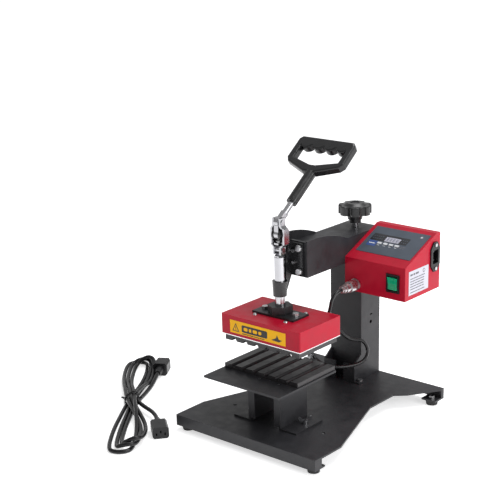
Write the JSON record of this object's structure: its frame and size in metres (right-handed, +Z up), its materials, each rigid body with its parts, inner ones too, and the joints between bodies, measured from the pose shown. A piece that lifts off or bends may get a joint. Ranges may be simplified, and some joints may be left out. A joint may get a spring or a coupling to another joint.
{
  "type": "pen heat press",
  "caption": "Bench heat press for pens: toggle lever lowers a heated grooved platen onto a grooved lower platen; temperature control box on a C-frame column, with a tied mains lead.",
  "frame": {"origin": "on the bench top under the middle of the base plate; the loose tied mains lead is left out of that middle", "axes": "+Z up, +Y towards the column at the rear, +X to the right as the operator stands facing the press"},
  "size_m": [0.5593, 0.4856, 0.4544],
  "materials": {
    "black_powder_coat": "fine matt powder coat",
    "red_powder_coat": "satin powder coat",
    "chrome": "bright plated",
    "zinc_steel": "zinc plated",
    "dark_steel": "black oxide",
    "platen_coating": "non-stick coating on aluminium",
    "bright_sheet": "rolled sheet",
    "rubber": "matt",
    "grip_plastic": "moulded, fine grain",
    "black_plastic": "moulded",
    "key_plastic": "domed key",
    "rocker_plastic": "translucent green",
    "screen": "dark display window",
    "lamp": "clear red",
    "panel_film": "printed film",
    "yellow_label": "printed film",
    "white_label": "printed film",
    "insulation": "felted fibre",
    "heater_sheath": "heat tinted",
    "circuit_green": "solder mask",
    "cable_black": "smooth sheath"
  },
  "bodies": {
    "frame": {"base_plate": "black_powder_coat", "rubber_feet": "rubber", "frame_fasteners": "zinc_steel", "frame_side_left": "black_powder_coat", "frame_side_right": "black_powder_coat", "frame_back_sheet": "black_powder_coat", "frame_front_sheet": "black_powder_coat", "arm_front_plate": "black_powder_coat", "clamp_body": "black_powder_coat", "clamp_bolts": "zinc_steel", "clamp_pivot_pin": "chrome", "platen_bracket": "black_powder_coat", "platen_tray": "black_powder_coat", "platen_screws": "zinc_steel", "ribbed_platen": "platen_coating", "box_shell": "red_powder_coat", "box_back_cover": "red_powder_coat", "box_screws": "zinc_steel", "panel_overlay": "panel_film", "display_screen": "screen", "indicator_lamp": "lamp", "rocker_bezel": "black_plastic", "mains_inlet": "black_plastic", "inlet_pins_and_screws": "zinc_steel", "rating_label": "white_label", "heater_socket": "zinc_steel", "heater_plug": "black_plastic", "control_board": "circuit_green", "heater_cable": "cable_black", "cord_hank": "cable_black", "cord_tie": "cable_black", "cord_connector": "black_plastic", "mains_plug": "black_plastic"},
    "lever": {"lever_bar": "chrome", "hand_grip": "grip_plastic"},
    "links": {"toggle_link_left": "chrome", "toggle_link_right": "chrome", "link_pins": "chrome"},
    "press_head": {"plunger": "chrome", "head_boss": "dark_steel", "head_mount_plate": "dark_steel", "head_screws": "zinc_steel", "head_cover": "red_powder_coat", "heated_platen": "platen_coating", "heating_element": "heater_sheath", "insulation_pad": "insulation", "reflector_sheet": "bright_sheet", "head_label": "yellow_label", "cable_gland": "black_plastic"},
    "pressure_knob": {"star_knob": "grip_plastic", "knob_stud": "chrome"},
    "power_rocker": {"rocker": "rocker_plastic"},
    "key_1": {"panel_key_1": "key_plastic"},
    "key_2": {"panel_key_2": "key_plastic"},
    "key_3": {"panel_key_3": "key_plastic"},
    "key_4": {"panel_key_4": "key_plastic"},
    "wing_left": {"wing_bolt_left": "chrome"},
    "wing_right": {"wing_bolt_right": "chrome"},
    "wing_rear": {"wing_bolt_rear": "chrome"}
  },
  "joints": [
    {"name": "lever_hinge", "type": "hinge", "parent": "frame", "child": "lever", "pos_m": [-0.0226, -0.0533, 0.3265], "axis": [1, 0, 0], "range_deg": [0, 180]},
    {"name": "link_hinge", "type": "hinge", "parent": "lever", "child": "links", "pos_m": [-0.0226, -0.0533, 0.3465], "axis": [1, 0, 0], "range_deg": [-180, 0]},
    {"name": "press_slide", "type": "slide", "parent": "frame", "child": "press_head", "axis": [0, 0, 1], "range_m": [-0.0401, 0]},
    {"name": "knob_turn", "type": "hinge", "parent": "frame", "child": "pressure_knob", "pos_m": [-0.0226, 0.15, 0.32], "axis": [0, 0, 1], "continuous": true},
    {"name": "rocker_hinge", "type": "hinge", "parent": "frame", "child": "power_rocker", "pos_m": [0.1075, 0.0806, 0.235], "axis": [1, 0, 0], "range_deg": [-13, 0]},
    {"name": "key_1_press", "type": "slide", "parent": "frame", "child": "key_1", "axis": [0, 0.3961, -0.9182], "range_m": [0, 0.0005], "stiffness_N_per_m": 400},
    {"name": "key_2_press", "type": "slide", "parent": "frame", "child": "key_2", "axis": [0, 0.3961, -0.9182], "range_m": [0, 0.0005], "stiffness_N_per_m": 400},
    {"name": "key_3_press", "type": "slide", "parent": "frame", "child": "key_3", "axis": [0, 0.3961, -0.9182], "range_m": [0, 0.0005], "stiffness_N_per_m": 400},
    {"name": "key_4_press", "type": "slide", "parent": "frame", "child": "key_4", "axis": [0, 0.3961, -0.9182], "range_m": [0, 0.0005], "stiffness_N_per_m": 400},
    {"name": "wing_left_turn", "type": "hinge", "parent": "frame", "child": "wing_left", "pos_m": [-0.048, -0.104, 0.036], "axis": [0, 0, 1], "continuous": true},
    {"name": "wing_right_turn", "type": "hinge", "parent": "frame", "child": "wing_right", "pos_m": [0.052, -0.086, 0.036], "axis": [0, 0, 1], "continuous": true},
    {"name": "wing_rear_turn", "type": "hinge", "parent": "frame", "child": "wing_rear", "pos_m": [-0.0096, 0.002, 0.102], "axis": [0, 0, 1], "continuous": true}
  ],
  "couplings": [
    {"joint": "link_hinge", "follows": "lever_hinge", "ratio": -1},
    {"joint": "press_slide", "follows": "lever_hinge", "m_per_rad": -0.012732}
  ]
}
